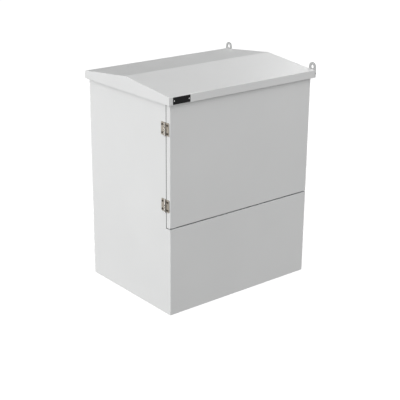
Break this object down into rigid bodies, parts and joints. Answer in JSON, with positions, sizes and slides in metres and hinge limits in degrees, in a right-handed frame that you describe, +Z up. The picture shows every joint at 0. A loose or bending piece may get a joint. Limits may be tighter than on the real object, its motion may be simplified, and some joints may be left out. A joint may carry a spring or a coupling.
{
  "type": "roadside utility cabinet",
  "caption": "Light grey steel roadside cabinet on a root section, with a side-hung front door, gabled roof, outside hinges and lifting eyes at one end.",
  "frame": {"origin": "ground level, at the middle of the four anchor holes", "axes": "+Z up, +X to the right along the door face, the door faces -Y"},
  "size_m": [1.0444, 0.7745, 1.265],
  "materials": {
    "powder_coat": "satin",
    "galvanised": "matte",
    "zinc_fasteners": "satin",
    "stainless": "satin",
    "washer_plastic": "matte",
    "black_plate": "satin",
    "seal_rubber": "matte",
    "earth_brass": "satin",
    "lock_chrome": "gloss",
    "lock_steel": "satin"
  },
  "bodies": {
    "cabinet": {"plinth_skirt": "powder_coat", "body_shell": "powder_coat", "door_frame": "powder_coat", "top_panel": "powder_coat", "roof_canopy": "powder_coat", "floor_pan": "powder_coat", "lifting_lug_front": "powder_coat", "lifting_lug_rear": "powder_coat", "plinth_foot_frame": "galvanised", "plinth_top_frame": "galvanised", "roof_bearer_left": "galvanised", "roof_bearer_right": "galvanised", "mounting_plate": "galvanised", "lock_upper_keeper": "galvanised", "lock_lower_keeper": "galvanised", "plinth_bolts": "zinc_fasteners", "lug_bolts": "zinc_fasteners", "mounting_studs": "zinc_fasteners", "mounting_nuts": "zinc_fasteners", "hinge_upper_body_leaf": "stainless", "hinge_lower_body_leaf": "stainless", "hinge_upper_pin": "stainless", "hinge_lower_pin": "stainless", "hinge_body_screws": "stainless", "name_plate_rivets": "stainless", "hinge_washers": "washer_plastic", "name_plate": "black_plate", "earth_stud": "earth_brass", "earth_nuts": "earth_brass"},
    "door": {"door_panel": "powder_coat", "door_seal": "seal_rubber", "door_stiffener_left": "powder_coat", "door_stiffener_right": "powder_coat", "hinge_upper_door_leaf": "stainless", "hinge_lower_door_leaf": "stainless", "hinge_door_screws": "stainless", "lock_housings": "lock_chrome", "lock_housing_nuts": "zinc_fasteners"},
    "lock_upper": {"lock_upper_plug": "lock_chrome", "lock_upper_claw": "lock_steel", "lock_upper_claw_nut": "zinc_fasteners"},
    "lock_lower": {"lock_lower_plug": "lock_chrome", "lock_lower_claw": "lock_steel", "lock_lower_claw_nut": "zinc_fasteners"}
  },
  "joints": [
    {"name": "door_hinge", "type": "hinge", "parent": "cabinet", "child": "door", "pos_m": [-0.506, -0.3385, 0.838], "axis": [0, 0, -1], "range_deg": [0, 180]},
    {"name": "lock_upper_turn", "type": "hinge", "parent": "door", "child": "lock_upper", "pos_m": [0.49, -0.355, 1.02], "axis": [-1, 0, 0], "range_deg": [0, 90]},
    {"name": "lock_lower_turn", "type": "hinge", "parent": "door", "child": "lock_lower", "pos_m": [0.49, -0.355, 0.662], "axis": [-1, 0, 0], "range_deg": [0, 90]}
  ]
}
